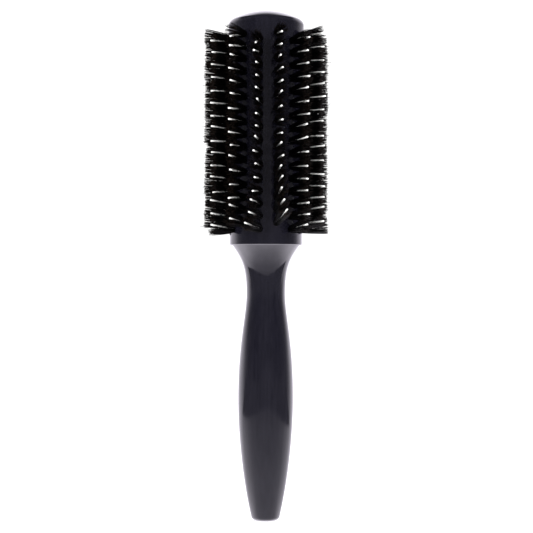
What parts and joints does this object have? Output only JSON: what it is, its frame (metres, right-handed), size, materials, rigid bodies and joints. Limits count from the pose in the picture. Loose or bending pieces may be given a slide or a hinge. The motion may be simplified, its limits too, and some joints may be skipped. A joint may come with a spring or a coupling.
{
  "type": "round barrel brush",
  "caption": "Round salon brush: a lacquered barrel set with rows of black bristle tufts and white nylon quills, on a swelling turned handle; it rolls and smooths hair.",
  "frame": {"origin": "centre of the flat on the handle's foot, with the brush standing upright", "axes": "+Z along the brush towards the crown of the barrel; -Y is the front, midway between two tuft rows; +X is to the right of the front"},
  "size_m": [0.0584, 0.057, 0.2389],
  "materials": {
    "lacquered_wood": "black gloss lacquer",
    "bare_wood": "plain turned beech",
    "boar_bristle": "natural black bristle",
    "nylon_quill": "satin white nylon",
    "anchor_wire": "bright drawn wire"
  },
  "bodies": {
    "root": {"handle": "lacquered_wood", "barrel": "lacquered_wood", "dowel": "bare_wood", "tuft_row_01": "boar_bristle", "tuft_row_02": "boar_bristle", "tuft_row_03": "boar_bristle", "tuft_row_04": "boar_bristle", "tuft_row_05": "boar_bristle", "tuft_row_06": "boar_bristle", "tuft_row_07": "boar_bristle", "tuft_row_08": "boar_bristle", "tuft_row_09": "boar_bristle", "tuft_row_10": "boar_bristle", "tuft_row_11": "boar_bristle", "tuft_row_12": "boar_bristle", "tuft_row_13": "boar_bristle", "tuft_row_14": "boar_bristle", "quill_row_01": "nylon_quill", "quill_row_02": "nylon_quill", "quill_row_03": "nylon_quill", "quill_row_04": "nylon_quill", "quill_row_05": "nylon_quill", "quill_row_06": "nylon_quill", "quill_row_07": "nylon_quill", "quill_row_08": "nylon_quill", "quill_row_09": "nylon_quill", "quill_row_10": "nylon_quill", "quill_row_11": "nylon_quill", "quill_row_12": "nylon_quill", "quill_row_13": "nylon_quill", "quill_row_14": "nylon_quill", "anchor_row_01": "anchor_wire", "anchor_row_02": "anchor_wire", "anchor_row_03": "anchor_wire", "anchor_row_04": "anchor_wire", "anchor_row_05": "anchor_wire", "anchor_row_06": "anchor_wire", "anchor_row_07": "anchor_wire", "anchor_row_08": "anchor_wire", "anchor_row_09": "anchor_wire", "anchor_row_10": "anchor_wire", "anchor_row_11": "anchor_wire", "anchor_row_12": "anchor_wire", "anchor_row_13": "anchor_wire", "anchor_row_14": "anchor_wire"}
  },
  "joints": []
}
